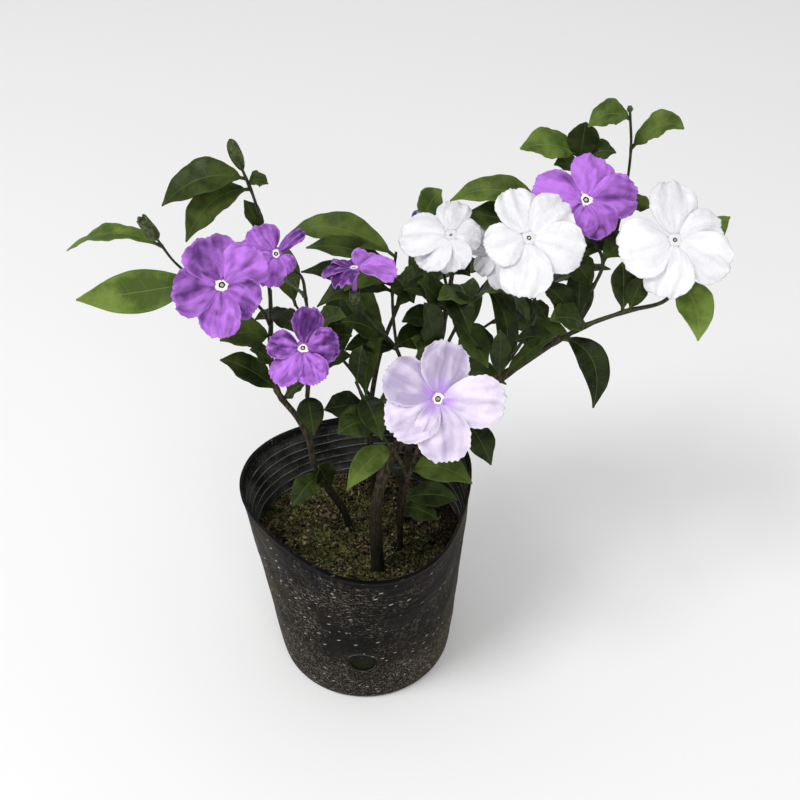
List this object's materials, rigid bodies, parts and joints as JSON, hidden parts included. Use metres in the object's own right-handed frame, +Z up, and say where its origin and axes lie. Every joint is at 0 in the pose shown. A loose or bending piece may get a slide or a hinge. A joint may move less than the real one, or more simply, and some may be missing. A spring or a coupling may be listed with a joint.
{
  "type": "potted flowering shrub",
  "caption": "Young yesterday-today-and-tomorrow shrub with waved purple, lilac and white blooms and glossy leaves, in a soft black nursery pot of mossy soil.",
  "frame": {"origin": "centre of the pot's underside, on the ground", "axes": "+Z up, -Y towards the side that the picture shows, +X to the right of it"},
  "size_m": [0.3302, 0.1789, 0.3391],
  "materials": {
    "pot_plastic": "thin black blow-moulded film, dusty and scuffed",
    "soil": "crumbly potting mix with moss and chips",
    "foliage": "leathery leaves, dark and satin above, paler below; brown-green stems",
    "petal_purple": "soft matte petals, white ring round the throat",
    "petal_lilac": "soft matte petals, faded lilac with purple streaks",
    "petal_white": "soft matte white petals"
  },
  "bodies": {
    "root": {"pot": "pot_plastic", "soil": "soil", "leafy_stem_left": "foliage", "leafy_stem_front": "foliage", "leafy_stem_right": "foliage", "leafy_stem_back": "foliage", "leafy_stem_rear": "foliage", "bloom_purple_left": "petal_purple", "bloom_purple_behind_left": "petal_purple", "bloom_purple_edge_on": "petal_purple", "bloom_purple_low": "petal_purple", "bloom_purple_top": "petal_purple", "bloom_lilac_front": "petal_lilac", "bloom_white_left": "petal_white", "bloom_white_middle": "petal_white", "bloom_white_behind": "petal_white", "bloom_white_right": "petal_white"}
  },
  "joints": []
}
